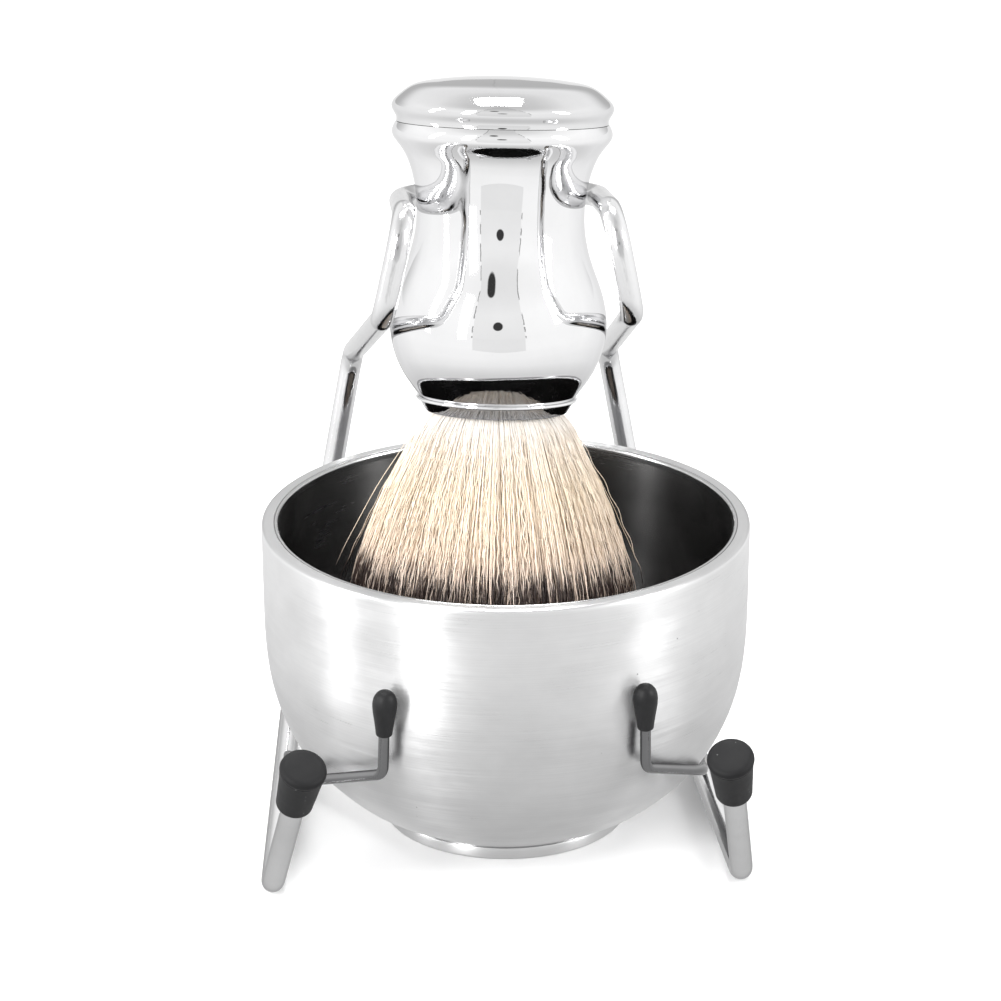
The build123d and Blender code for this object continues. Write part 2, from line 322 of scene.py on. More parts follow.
class Nodes:
    """Short calls for building a shader node tree."""

    def __init__(self, tree):
        self.tree = tree
        tree.nodes.clear()

    def put(self, socket, value):
        """Link a socket or set its value; an RGB value gets an alpha of 1."""
        if isinstance(value, bpy.types.NodeSocket):
            self.tree.links.new(value, socket)
        elif isinstance(value, tuple) and len(value) == 3 and len(socket.default_value) == 4:
            socket.default_value = (*value, 1)
        else:
            socket.default_value = value

    def node(self, kind, inputs=None, **settings):
        node = self.tree.nodes.new("ShaderNode" + kind)
        for name, value in settings.items():
            setattr(node, name, value)
        for socket, value in (inputs or {}).items():
            self.put(node.inputs[socket], value)
        return node

    def math(self, operation, a, b=0.0, clamp=False):
        node = self.node("Math", {0: a, 1: b}, operation=operation, use_clamp=clamp)
        return node.outputs[0]

    def add(self, a, b):
        return self.math("ADD", a, b)

    def subtract(self, a, b):
        return self.math("SUBTRACT", a, b)

    def multiply(self, a, b):
        return self.math("MULTIPLY", a, b)

    def less(self, a, b):
        return self.math("LESS_THAN", a, b)

    def greater(self, a, b):
        return self.math("GREATER_THAN", a, b)

    def dimming(self, mask, amount):
        """A factor of 1 that drops by amount where the mask is 1."""
        return self.subtract(1.0, self.multiply(mask, amount))

    def remap(self, value, source=(0.3, 0.7), to=(0.0, 1.0)):
        return self.node("MapRange", {
            "Value": value, "From Min": source[0], "From Max": source[1],
            "To Min": to[0], "To Max": to[1]}).outputs[0]

    def soft_step(self, value, low, high):
        return self.node("MapRange", {"Value": value, "From Min": low, "From Max": high},
                         interpolation_type="SMOOTHSTEP").outputs[0]

    def ramp(self, value, stops):
        """Colour ramp; each stop is (position, colour), with a plain number for a grey."""
        node = self.node("ValToRGB", {0: value})
        elements = node.color_ramp.elements
        while len(elements) < len(stops):
            elements.new(0.5)
        for element, (position, colour) in zip(elements, stops):
            element.position = position
            element.color = (*colour, 1) if isinstance(colour, tuple) else (*[colour] * 3, 1)
        return node.outputs[0]

    def mix(self, factor, a, b, blend="MIX"):
        return self.node("Mix", {0: factor, 6: a, 7: b},
                         data_type="RGBA", blend_type=blend).outputs[2]

    def tint(self, colour, by):
        return self.mix(1.0, colour, by, "MULTIPLY")

    def separate(self, vector):
        return self.node("SeparateXYZ", {0: vector}).outputs

    def combine(self, channels):
        return self.node("CombineColor", dict(enumerate(channels))).outputs[0]

    def mix_shader(self, factor, a, b):
        return self.node("MixShader", {0: factor, 1: a, 2: b}).outputs[0]

    def front_screen(self, x, y):
        """Distance ahead of the set, towards -Y, and sideways distance as a share of it."""
        ahead = self.math("MAXIMUM", self.multiply(y, -1.0), 0.001)
        middle = self.multiply(y, SCREEN_SKEW)
        across = self.math("ABSOLUTE", self.subtract(x, middle))
        return ahead, self.math("DIVIDE", across, ahead)


class Material(Nodes):
    """A material with a Principled shader."""

    def __init__(self, name):
        self.material = bpy.data.materials.new(name)
        self.material.use_nodes = True
        super().__init__(self.material.node_tree)
        self.output = self.node("OutputMaterial").inputs[0]
        self.principled = self.node("BsdfPrincipled")
        self.put(self.output, self.principled.outputs[0])

    def surface(self, inputs):
        for name, value in inputs.items():
            self.put(self.principled.inputs[name], value)
        return self.material

    def place(self):
        return self.node("TexCoord").outputs["Object"]

    def attribute(self, name):
        return self.node("Attribute", attribute_name=name).outputs["Vector"]

    def glossy_ray(self):
        return self.node("LightPath").outputs["Is Glossy Ray"]

    def facing(self):
        return self.node("LayerWeight", {"Blend": 0.5}).outputs["Facing"]

    def scaled(self, vector, scale, rotation=(0, 0, 0)):
        """Texture coordinates; scale is one number or one for each axis."""
        scale = scale if isinstance(scale, tuple) else (scale,) * 3
        return self.node("Mapping", {
            "Vector": vector, "Scale": scale, "Rotation": rotation}).outputs[0]

    def noise(self, vector, scale, detail, roughness, rotation=(0, 0, 0)):
        return self.node("TexNoise", {
            "Vector": self.scaled(vector, scale, rotation), "Scale": 1.0,
            "Detail": detail, "Roughness": roughness}).outputs["Fac"]

    def specks(self, vector, scale, size, patch_scale, patch_detail, patch_level):
        """Mask of small round dots, kept only where a patch noise is above its level."""
        cells = self.node("TexVoronoi", {
            "Vector": self.scaled(vector, scale), "Scale": 1.0}).outputs["Distance"]
        patches = self.noise(vector, patch_scale, detail=patch_detail, roughness=0.5)
        return self.multiply(self.less(cells, size), self.greater(patches, patch_level))

    def bump(self, height, strength, distance, normal=None):
        inputs = {"Strength": strength, "Distance": distance, "Height": height}
        if normal is not None:
            inputs["Normal"] = normal
        return self.node("Bump", inputs).outputs[0]


# ------------------------------------------------------------------ materials
def spun_steel(name, colour, roughness, anisotropy, lines, pits=1.0, blotches=0.05):
    """Satin steel with spinning marks round Z, faint blotches and small pits.

    lines and pits are strengths, and blotches is how much the tone drops in the blotches.
    """
    m = Material(name)
    place = m.place()
    line = m.noise(place, (45, 45, 5200), detail=3.0, roughness=0.6)
    band = m.noise(place, (16, 16, 900), detail=2.0, roughness=0.5)
    cloud = m.noise(place, (38, 38, 60), detail=4.0, roughness=0.6)
    pit = m.specks(place, scale=420, size=0.075,
                   patch_scale=150, patch_detail=2.0, patch_level=0.66)
    tone = m.remap(cloud, to=(1.0 - blotches, 1.0 + blotches * 0.4))
    line_tone = m.remap(line, (0.25, 0.75), to=(1 - 0.025 * lines, 1 + 0.015 * lines))
    tone = m.multiply(m.multiply(tone, line_tone), m.dimming(pit, 0.45 * pits))
    steel = m.combine([m.multiply(tone, c) for c in colour])
    # painted shade: faces that look up are painted darker
    upward = m.separate(m.node("NewGeometry").outputs["Normal"])[2]
    level = m.ramp(upward, [(0.0, 1.0), (0.35, 1.0), (0.70, 0.80), (1.0, 0.72)])
    steel = m.tint(steel, level)
    # painted reflection: the steel is painted darker where other shiny surfaces mirror it
    painted_reflection = m.tint(steel, (0.35, 0.35, 0.355))
    marks = m.add(m.multiply(line, 0.8), m.multiply(band, 0.5))
    marks = m.bump(marks, strength=0.10 * lines, distance=0.00003)
    return m.surface({
        "Base Color": m.mix(m.glossy_ray(), steel, painted_reflection),
        "Metallic": 1.0,
        "Roughness": m.add(m.remap(cloud, to=(roughness * 0.88, roughness * 1.15)),
                           m.remap(line, to=(-0.02 * lines, 0.03 * lines))),
        "Anisotropic": anisotropy,
        "Anisotropic Rotation": 0.25,
        "Tangent": m.node("Tangent", direction_type="RADIAL", axis="Z").outputs[0],
        "Normal": m.bump(m.subtract(0.0, pit), strength=0.25 * pits, distance=0.00005,
                         normal=marks)})


def mirror_chrome(name, colour, roughness):
    """Plated casting: mirror finish over a very slightly wavy surface, with faint haze."""
    m = Material(name)
    place = m.place()
    haze = m.noise(place, 120, detail=5.0, roughness=0.6)
    ripple = m.noise(place, 95, detail=2.0, roughness=0.4)
    fine = m.noise(place, 900, detail=3.0, roughness=0.6)
    wipe = m.noise(place, (30, 30, 240), detail=3.0, roughness=0.55, rotation=(0.4, 0.2, 0))
    chrome = m.mix(m.remap(haze, (0.35, 0.7)), colour, toned(colour, 0.965))
    # painted shade: darker towards the silhouette
    edge = m.ramp(m.facing(), [
        (0.0, 1.0), (0.40, 1.0), (0.66, (0.88, 0.88, 0.885)),
        (0.86, (0.66, 0.66, 0.665)), (1.0, (0.42, 0.42, 0.425))])
    waves = m.bump(ripple, strength=0.12, distance=0.0004)
    return m.surface({
        "Base Color": m.tint(chrome, edge),
        "Metallic": 1.0,
        "Roughness": m.add(m.remap(haze, (0.3, 0.75), to=(roughness * 0.7, roughness * 1.4)),
                           m.remap(wipe, (0.62, 0.8), to=(0.0, 0.02))),
        "Normal": m.bump(fine, strength=0.02, distance=0.00004, normal=waves)})


def drawn_wire(name, colour, roughness):
    """Polished drawn wire: marks that run along the wire, faint tarnish."""
    m = Material(name)
    ring = m.attribute("ring")
    line = m.noise(ring, (26, 26, 1.2), detail=4.0, roughness=0.65)
    nick = m.noise(ring, 9, detail=3.0, roughness=0.6)
    cloud = m.noise(m.place(), 70, detail=4.0, roughness=0.6)
    wire = m.mix(m.remap(cloud, (0.4, 0.72)), colour, toned(colour, 0.9))
    wire = m.mix(m.remap(line, (0.55, 0.8), to=(0, 0.18)), wire, toned(colour, 0.7))
    # painted reflection: a dark streak down the middle, bright flanks and dark edges, with an uneven
    # border
    uneven = m.add(m.facing(), m.remap(nick, to=(-0.018, 0.018)))
    painted_reflection_bands = m.ramp(uneven, [
        (0.0, (0.62, 0.62, 0.625)), (0.025, (0.66, 0.66, 0.665)), (0.075, 0.92),
        (0.20, 1.0), (0.38, 1.0), (0.62, 0.88),
        (0.82, (0.58, 0.58, 0.585)), (1.0, (0.38, 0.38, 0.385))])
    marks = m.bump(line, strength=0.10, distance=0.00005)
    return m.surface({
        "Base Color": m.tint(wire, painted_reflection_bands),
        "Metallic": 1.0,
        "Roughness": m.add(m.remap(line, (0.3, 0.75), to=(roughness * 0.7, roughness * 1.5)),
                           m.remap(nick, (0.55, 0.8), to=(0, 0.05))),
        "Normal": m.bump(nick, strength=0.10, distance=0.00012, normal=marks)})


def moulded_rubber(name, colour, roughness):
    """Dull black rubber with a fine grain and specks of dust."""
    m = Material(name)
    place = m.place()
    grain = m.noise(place, 2600, detail=3.0, roughness=0.6)
    soft = m.noise(place, 260, detail=3.0, roughness=0.6)
    dust = m.specks(place, scale=900, size=0.10,
                    patch_scale=330, patch_detail=1.0, patch_level=0.62)
    rubber = m.mix(m.remap(soft), colour, toned(colour, 1.35))
    rubber = m.mix(m.multiply(dust, 0.6), rubber, (0.22, 0.22, 0.22))
    # painted reflection: the rubber is painted lighter grey where metal mirrors it
    painted_reflection = m.multiply(m.glossy_ray(), 0.8)
    unevenness = m.bump(soft, strength=0.10, distance=0.00012)
    return m.surface({
        "Base Color": m.mix(painted_reflection, rubber, (0.30, 0.30, 0.30)),
        "Roughness": m.remap(soft, to=(roughness - 0.07, roughness + 0.07)),
        "Specular IOR Level": 0.22,
        "Sheen Weight": 0.04,
        "Sheen Roughness": 0.5,
        "Normal": m.bump(grain, strength=0.16, distance=0.00006, normal=unevenness)})


def turned_metal(name, colour, roughness, grain_scale):
    """Plain turned or cast piece that is out of sight in use."""
    m = Material(name)
    grain = m.noise(m.place(), grain_scale, detail=4.0, roughness=0.6)
    return m.surface({
        "Base Color": m.mix(m.remap(grain), colour, toned(colour, 0.82)),
        "Metallic": 1.0,
        "Roughness": m.remap(grain, to=(roughness * 0.8, roughness * 1.2)),
        "Normal": m.bump(grain, strength=0.15, distance=0.00005)})


def cast_plastic(name, colour, roughness, subsurface=0.0):
    m = Material(name)
    grain = m.noise(m.place(), 300, detail=5.0, roughness=0.6)
    if subsurface:
        m.surface({"Subsurface Weight": subsurface, "Subsurface Scale": 0.002})
    return m.surface({
        "Base Color": m.mix(m.remap(grain), colour, toned(colour, 0.8)),
        "Roughness": m.remap(grain, to=(roughness * 0.85, roughness * 1.15)),
        "Normal": m.bump(grain, strength=0.12, distance=0.00008)})


def fibre(name, dark_from, stay_cream, core=False):
    """Crimped fibre: near white at the ferrule, cream along the length, dark brown tips.

    The 'fib' attribute holds (random, along, distance from its lock). dark_from is where a
    fibre goes dark, as a share of the free length. stay_cream is the share that stay cream.
    """
    m = Material(name)
    random, along, lock = m.separate(m.attribute("fib"))
    second = m.math("FRACT", m.multiply(random, 7.31))
    third = m.math("FRACT", m.multiply(random, 23.7))
    cream = m.ramp(along, [
        (0.00, (0.80, 0.785, 0.77)), (0.06, (0.84, 0.80, 0.76)), (0.15, (0.89, 0.80, 0.70)),
        (0.30, (0.92, 0.80, 0.65)), (0.50, (0.92, 0.78, 0.64)), (0.66, (0.87, 0.72, 0.62)),
        (1.0, (0.80, 0.67, 0.60))])
    dark = m.mix(third, (0.030, 0.017, 0.014), (0.055, 0.028, 0.020))
    # the border wanders by 0.13, fades over 0.045, and lies past the tip of a cream fibre
    border = m.add(dark_from, m.multiply(m.subtract(second, 0.5), 0.13))
    border = m.add(border, m.multiply(m.less(third, stay_cream), 0.6))
    past = m.math("DIVIDE", m.subtract(along, border), 0.045, clamp=True)
    own_tint = m.ramp(random, [
        (0.0, (0.66, 0.60, 0.53)), (0.10, (0.86, 0.82, 0.77)), (0.3, (0.97, 0.96, 0.94)),
        (0.8, 1.0), (1.0, (1.0, 0.97, 0.92))])
    colour = m.tint(m.mix(past, cream, dark), own_tint)
    shaded = m.tint(colour, (0.76, 0.66, 0.58))
    colour = m.mix(m.remap(lock, (0.0, 1.0), to=(0.0, 0.14)), colour, shaded)
    if core:
        # painted shade in the dark gaps, and ridges, that run along the solid core
        grain = m.noise(m.attribute("ring"), (60, 60, 1.0), detail=4.0, roughness=0.7)
        painted_gap_shade = m.tint(colour, (0.38, 0.30, 0.24))
        colour = m.mix(m.remap(grain, (0.35, 0.65), to=(0.3, 0.95)), colour, painted_gap_shade)
        m.surface({"Normal": m.bump(grain, strength=0.6, distance=0.0006)})
    # painted reflection: the fibres are painted grey where metal mirrors them
    colour = m.mix(m.glossy_ray(), colour, m.tint(colour, (0.22, 0.235, 0.26)))
    return m.surface({
        "Base Color": colour, "Roughness": 0.38, "Specular IOR Level": 0.5,
        "Sheen Weight": 0.1})


STEEL_OUT = spun_steel("satin_steel", (0.87, 0.87, 0.872), roughness=0.32,
                       anisotropy=0.78, lines=1.8, blotches=0.10)
# painted shade: the liner takes a much darker copy of the bowl steel, for the shade inside the bowl
STEEL_IN_SHADED = spun_steel("liner_steel", (0.36, 0.355, 0.35), roughness=0.25,
                      anisotropy=0.82, lines=0.5, pits=0.4)
STEEL_RIM = spun_steel("rim_steel", (0.66, 0.66, 0.66), roughness=0.24,
                       anisotropy=0.4, lines=0.6)
CHROME = mirror_chrome("handle_chrome", (0.93, 0.93, 0.935), roughness=0.03)
WIRE = drawn_wire("wire_chrome", (0.93, 0.93, 0.935), roughness=0.11)
# painted shade: the prong wires take a much darker copy of the wire chrome
WIRE_THIN_SHADED = drawn_wire("prong_wire_chrome", (0.29, 0.29, 0.295), roughness=0.16)
# painted shade: the cap takes a darker copy of the handle chrome
CHROME_CAP_SHADED = mirror_chrome("cap_chrome", (0.82, 0.82, 0.825), roughness=0.04)
RUBBER = moulded_rubber("black_rubber", (0.0045, 0.0045, 0.005), roughness=0.62)
RUBBER_TIP = moulded_rubber("black_rubber_tip", (0.007, 0.007, 0.0075), roughness=0.5)
WELD = turned_metal("weld_metal", (0.55, 0.54, 0.53), roughness=0.3, grain_scale=200)
BALLAST = turned_metal("ballast_steel", (0.50, 0.50, 0.50), roughness=0.35,
                       grain_scale=(60, 60, 1800))
CUP = cast_plastic("cup_plastic", (0.80, 0.78, 0.73), roughness=0.5)
RESIN = cast_plastic("resin", (0.62, 0.48, 0.26), roughness=0.25, subsurface=0.2)
FIBRE = fibre("bristle_fibre", dark_from=0.585, stay_cream=0.19)
FIBRE_IN = fibre("bristle_fibre_inner", dark_from=0.55, stay_cream=0.0)
FIBRE_CORE = fibre("bristle_core", dark_from=0.52, stay_cream=0.0, core=True)

# ------------------------------------------------------------------ bowl
SKIN = 0.8              # sheet thickness of the shell and the liner
RIM_INNER_R = 46.45     # inner edge of the shell's flat rim
SHELL_FLOOR_R = 24.9
FOOT_R, FOOT_H, FOOT_W = 25.0, 4.3, 1.8
LINER_R = 46.39
LINER_FLOOR_Z = 8.1

# (r, z) up the outside of the shell
SHELL_SIDE = [
    (SHELL_FLOOR_R, FOOT_H), (28.2, 4.95), (31.4, 6.5), (34.9, 9.2), (38.0, 12.2),
    (40.75, 15.3), (42.85, 18.4), (44.5, 21.6), (45.85, 24.8), (46.95, 28.2),
    (47.72, 31.6), (48.25, 35.0), (48.58, 38.5), (48.78, 42.5), (48.86, 47.0),
    (48.9, 52.0), (48.94, 58.0), (BOWL_R, BOWL_H - 0.9)]

# (r, z) down the inside of the liner
LINER_SIDE = [
    (45.6, BOWL_H - 0.55), (45.55, 58.0), (45.45, 52.0), (45.15, 46.0), (44.6, 40.0),
    (43.7, 34.5), (42.3, 29.0), (40.2, 23.8), (37.2, 19.0), (33.0, 14.8), (27.0, 11.2),
    (19.0, 9.0), (9.0, 8.2), (0, LINER_FLOOR_Z)]


def build_shell():
    radius, top, rim = BOWL_R, BOWL_H, RIM_INNER_R
    inside = offset_run(SHELL_SIDE, SKIN)
    inside[0] = (SHELL_FLOOR_R, FOOT_H + SKIN)
    inside[-1] = (radius - SKIN, top - 1.1)
    shell = lathe("bowl_shell", outline(
        [(0, FOOT_H), (SHELL_FLOOR_R, FOOT_H)],
        curve(SHELL_SIDE),
        curve([(radius, top - 0.9), (radius - 0.12, top - 0.42), (radius - 0.42, top - 0.12),
               (radius - 0.9, top)]),
        [(radius - 0.9, top), (radius - 1.3, top), (rim + 0.3, top), (rim + 0.14, top),
         (rim + 0.03, top - 0.06), (rim, top - 0.16), (rim, top - SKIN),
         (radius - SKIN - 0.6, top - SKIN), (radius - SKIN, top - 1.1)],
        curve(inside[::-1]),
        [(SHELL_FLOOR_R, FOOT_H + SKIN), (0, FOOT_H + SKIN)]), BOWL_FRAME, segments=256)
    fit(shell, "bowl", "satin_steel", STEEL_OUT, replaces="bowl_outer_shell")


def build_liner():
    top = BOWL_H
    outside = offset_run(LINER_SIDE, SKIN)
    outside[0] = (LINER_R, top - 0.55)
    outside[-1] = (0, LINER_FLOOR_Z - SKIN)
    liner = lathe("bowl_liner", outline(
        curve(LINER_SIDE),
        [(0, LINER_FLOOR_Z), (0, LINER_FLOOR_Z - SKIN)],
        curve(outside[::-1]),
        [(LINER_R, top - 0.55), (LINER_R, top - 0.16), (46.36, top - 0.06), (46.25, top),
         (46.0, top)],
        curve([(46.0, top), (45.86, top - 0.07), (45.7, top - 0.26), (45.6, top - 0.55)])),
        BOWL_FRAME, segments=256)
    fit(liner, "bowl", "dark_steel", STEEL_IN_SHADED, STEEL_RIM, replaces="bowl_inner_liner")
    # the top 1.5 mm takes the rim steel
    for face in liner.data.polygons:
        if face.center.z > (top - 1.5) * MM:
            face.material_index = 1


def build_foot():
    """Foot ring with a narrow groove round the outside."""
    radius, inner = FOOT_R, FOOT_R - FOOT_W
    foot = lathe("bowl_foot", outline(
        [(inner, 0.35), (inner + 0.1, 0.1), (inner + 0.35, 0), (radius - 0.6, 0)],
        curve([(radius - 0.6, 0), (radius - 0.35, 0.06), (radius - 0.1, 0.28), (radius, 0.6)]),
        [(radius, 0.6), (radius, 1.5), (radius, 2.42), (radius - 0.05, 2.54),
         (radius - 0.22, 2.66), (radius - 0.25, 2.72), (radius - 0.22, 2.78),
         (radius - 0.05, 2.9), (radius, 3.02), (radius, FOOT_H), (inner, FOOT_H)]),
        BOWL_FRAME, segments=192)
    fit(foot, "bowl", "satin_steel", STEEL_OUT, replaces="bowl_foot_ring")


def build_disc():
    """Disc inside the foot ring, with a raised middle."""
    radius = FOOT_R - FOOT_W - 0.05
    disc = lathe("bowl_disc", outline(
        [(0, 1.9), (15.2, 1.9)],
        curve([(15.2, 1.9), (15.8, 1.82), (16.6, 1.3), (17.2, 1.1)]),
        [(17.2, 1.1), (radius, 1.1), (radius, 1.9)],
        curve([(17.9, 1.9), (17.3, 2.1), (16.6, 2.6), (16.0, 2.7)]),
        [(16.0, 2.7), (0, 2.7)]), BOWL_FRAME, segments=160)
    fit(disc, "bowl", "satin_steel", STEEL_OUT, replaces="bowl_base_disc")


build_shell()
build_liner()
build_foot()
build_disc()

# ------------------------------------------------------------------ brush handle
# (r, z) up the outside of the handle, from the ferrule to the bead
HANDLE_SIDE = [
    (15.5, 1.55), (16.58, 3.0), (17.65, 4.5), (18.64, 6.0), (19.44, 7.5), (20.1, 9.0),
    (20.61, 10.5), (21.0, 12.0), (21.3, 13.5), (21.46, 15.0), (21.5, 16.5), (21.4, 18.0),
    (21.18, 19.5), (20.85, 21.0), (20.42, 22.5), (19.9, 24.0), (19.32, 25.5),
    (18.74, 27.0), (18.2, 28.5), (17.72, 30.0), (17.34, 31.5), (17.02, 33.0),
    (16.79, 34.5), (16.65, 36.0), (16.6, 37.5), (16.62, 39.0), (16.7, 40.5),
    (16.87, 42.0), (17.12, 43.5), (17.45, 45.0), (17.88, 46.5), (18.43, 48.0),
    (19.15, 49.5), (20.18, 51.0)]
BEAD = [(20.18, 51.0), (21.03, 52.1), (21.58, 53.0), (21.72, 53.8), (21.45, 54.8),
        (20.98, 55.65)]
# (r, z) of the socket inside the handle, from the top down
HANDLE_SOCKET = [
    (20.98, 55.65), (17.5, 55.65), (17.5, 50.6), (15.0, 48.1), (15.0, 14.0), (14.0, 13.0),
    (14.0, 1.55), (15.5, 1.55)]

# (r, z) over the cap, from its bead to the middle of its dome
CAP_TOP = [
    (20.9, 55.75), (20.86, 56.2), (21.12, 57.0), (21.62, 57.85), (21.86, 58.7),
    (21.52, 59.7), (20.7, 60.6), (19.72, 61.45), (18.75, 62.17), (17.55, 62.82),
    (15.8, 63.35), (13.4, 63.74), (10.6, 64.08), (7.4, 64.35), (3.8, 64.53), (0, 64.6)]
# (r, z) of the hollow and the collar, with a groove at the seal ring
CAP_COLLAR = [
    (0, 64.6), (0, 62.0), (14.4, 60.9), (15.4, 59.6), (15.4, 51.4), (17.15, 51.4),
    (17.45, 51.7), (17.45, 52.9), (16.22, 52.9), (16.22, 54.3), (17.45, 54.3),
    (17.45, 55.75), (20.9, 55.75)]

# (r, z) of the ferrule: the cone, its rounded lip, and the sleeve inside the handle
FERRULE_CONE = [
    (13.35, -1.3), (14.05, -1.3), (14.15, -1.26), (14.24, -1.15), (15.35, 0.74),
    (15.43, 0.83), (15.56, 0.87), (15.76, 0.87)]
FERRULE_LIP = [(15.76, 0.87), (15.92, 0.93), (16.0, 1.15), (15.96, 1.4), (15.82, 1.5)]
FERRULE_SLEEVE = [
    (15.82, 1.5), (13.95, 1.5), (13.95, 7.0), (12.95, 7.0), (12.95, -0.7), (13.2, -1.2)]

# name, outline, sharp angle, material, CAD piece
for name, points, sharp_angle, material, node in (
        ("brush_handle", outline(curve(HANDLE_SIDE), curve(BEAD), HANDLE_SOCKET),
         40, CHROME, "handle_body"),
        ("brush_cap", outline(curve(CAP_TOP), CAP_COLLAR), 40, CHROME_CAP_SHADED, "handle_cap"),
        ("brush_ferrule", outline(FERRULE_CONE, curve(FERRULE_LIP), FERRULE_SLEEVE),
         30, CHROME, "ferrule_ring")):
    piece = lathe(name, points, BRUSH_FRAME, segments=224, sharp_angle=sharp_angle)
    fit(piece, "brush", "handle_chrome", material, replaces=node)

# ------------------------------------------------------------------ bristles
LOFT = 51.3             # free length of the bundle
ROOT_DEPTH = -0.5       # depth at which the fibres start
LOCKS = 420             # small locks that the fibres of a block gather in

# (r, z) down the side of the bundle
KNOT_SIDE = np.array(curve([
    (11.8, 0.5), (12.6, -1.0), (13.0, -1.6), (14.2, -2.9), (17.2, -8.4), (21.1, -16.4),
    (24.3, -24.6), (26.8, -32.0), (28.1, -38.0), (28.6, -42.2), (28.7, -46.9),
    (28.7, -52.0)], step=0.5))


def knot_radius(depth):
    """Radius of the bundle at a depth below the brush frame's origin (mm)."""
    return np.interp(depth, -KNOT_SIDE[:, 1], KNOT_SIDE[:, 0])


def to_brush(points):
    """(x, y, z) in mm in the brush frame, to metres in the row frame."""
    return np.array(BRUSH_ORIGIN) + (
        points[..., 0:1] * np.array(BRUSH_X) + points[..., 1:2] * np.array(BRUSH_Y)
        + points[..., 2:3] * np.array(BRUSH_Z)) * MM


def fibre_paths(draw, count, lane, segments, stray):
    """Centrelines of the fibres (mm, brush frame), and what their looks depend on.

    lane is the inner and outer share of the bundle's radius that the fibres grow in.
    """
    def uniform(low, high):
        return draw.uniform(low, high, count)

    share = np.sqrt(uniform(lane[0] ** 2, lane[1] ** 2))
    angle = uniform(0, TURN)
    random = uniform(0, 1)
    lock_angle = draw.uniform(0, TURN, LOCKS)
    lock_share = np.sqrt(draw.uniform(0, 1, LOCKS))
    lock_x, lock_y = lock_share * np.cos(lock_angle), lock_share * np.sin(lock_angle)
    root_x, root_y = share * np.cos(angle), share * np.sin(angle)
    gap = (root_x[:, None] - lock_x[None]) ** 2 + (root_y[:, None] - lock_y[None]) ** 2
    nearest = gap.argmin(1)
    lock_gap = np.sqrt(gap[np.arange(count), nearest])
    pull = uniform(0.10, 0.45)                  # how far a fibre leans to its lock
    bow = draw.normal(0, 0.35, count)           # single bend over the length, mm
    drift_angle = uniform(0, TURN)
    drift = draw.normal(0, 0.62, count)         # sideways lean, mm
    wavelength = uniform(3.4, 6.2)              # crimp, mm
    # crimp size in mm, larger for some 15% of the fibres
    amplitude = uniform(0.10, 0.34) * (1.0 + 0.7 * (uniform(0, 1) > 0.85))
    phase = uniform(0, TURN)
    crimp_angle = uniform(0, TURN)
    tip_scatter = draw.normal(0, 1.1, count)
    shortfall = uniform(0, 1)
    if stray:
        # strays end higher up, more so on the -Y side, and are crimped more
        tip = uniform(29, 45) - 6.0 * np.clip(-np.sin(angle), 0, 1)
        wavelength = wavelength * 1.15
        amplitude = amplitude * 1.5
    else:
        # domed end: the outer fibres are up to 9.3 mm shorter, and a few are broken off
        tip = LOFT - 9.3 * share ** 3 + tip_scatter - 4.0 * (shortfall ** 5)
    tip = np.minimum(tip, LOFT - 0.4)

    along = np.linspace(0, 1, segments + 1)
    depth = ROOT_DEPTH + (tip[:, None] - ROOT_DEPTH) * along[None]
    radius = knot_radius(depth)
    free = np.clip(depth, 0, None)
    hang = free / LOFT
    lean = pull[:, None] * np.clip(hang * 1.6, 0, 1) ** 1.5
    x = root_x[:, None] * (1 - lean) + lock_x[nearest][:, None] * lean
    y = root_y[:, None] * (1 - lean) + lock_y[nearest][:, None] * lean
    over = np.clip(np.sqrt(x ** 2 + y ** 2) / 0.995, 1, None)
    x, y = x / over, y / over
    if stray:
        # strays spread outwards as they go down, most on the +Y side
        side = np.clip(1.0 + 1.6 * np.sin(angle), 0.05, 1.0)
        spread = 1 + (free / 40) ** 1.1 * (uniform(0.04, 0.20) * side)[:, None]
        x, y = x * spread, y * spread
    x = x * radius + (drift * np.cos(drift_angle))[:, None] * hang * 1.6
    y = y * radius + (drift * np.sin(drift_angle))[:, None] * hang * 1.6
    outward = np.stack([np.cos(angle), np.sin(angle)], -1)
    sideways = np.stack([-np.sin(angle), np.cos(angle)], -1)
    # the crimp grows in over the 6 mm below a depth of 1 mm, and is flatter outwards
    crimp = amplitude[:, None] * np.sin(TURN * depth / wavelength[:, None] + phase[:, None]) \
        * np.clip((depth - 1.0) / 6, 0, 1)
    crimp_way = outward * np.cos(crimp_angle)[:, None] * 0.55 \
        + sideways * np.sin(crimp_angle)[:, None]
    bend = bow[:, None] * np.sin(math.pi * along)[None]
    x = x + crimp * crimp_way[:, 0:1] + bend * outward[:, 0:1]
    y = y + crimp * crimp_way[:, 1:2] + bend * outward[:, 1:2]
    path = np.stack([x, y, -depth], -1)
    if not stray:
        # nothing leaves the bundle's own space
        reach = np.sqrt(path[..., 0] ** 2 + path[..., 1] ** 2)
        slack = 0.055 * uniform(0, 1)[:, None] ** 3 * np.clip(depth / 12, 0, 1)
        limit = knot_radius(depth) * (1.012 + slack)
        shrink = np.where(reach > limit, limit / np.maximum(reach, 1e-6), 1)
        path[..., 0] *= shrink
        path[..., 1] *= shrink
    return path, outward, random, depth, lock_gap


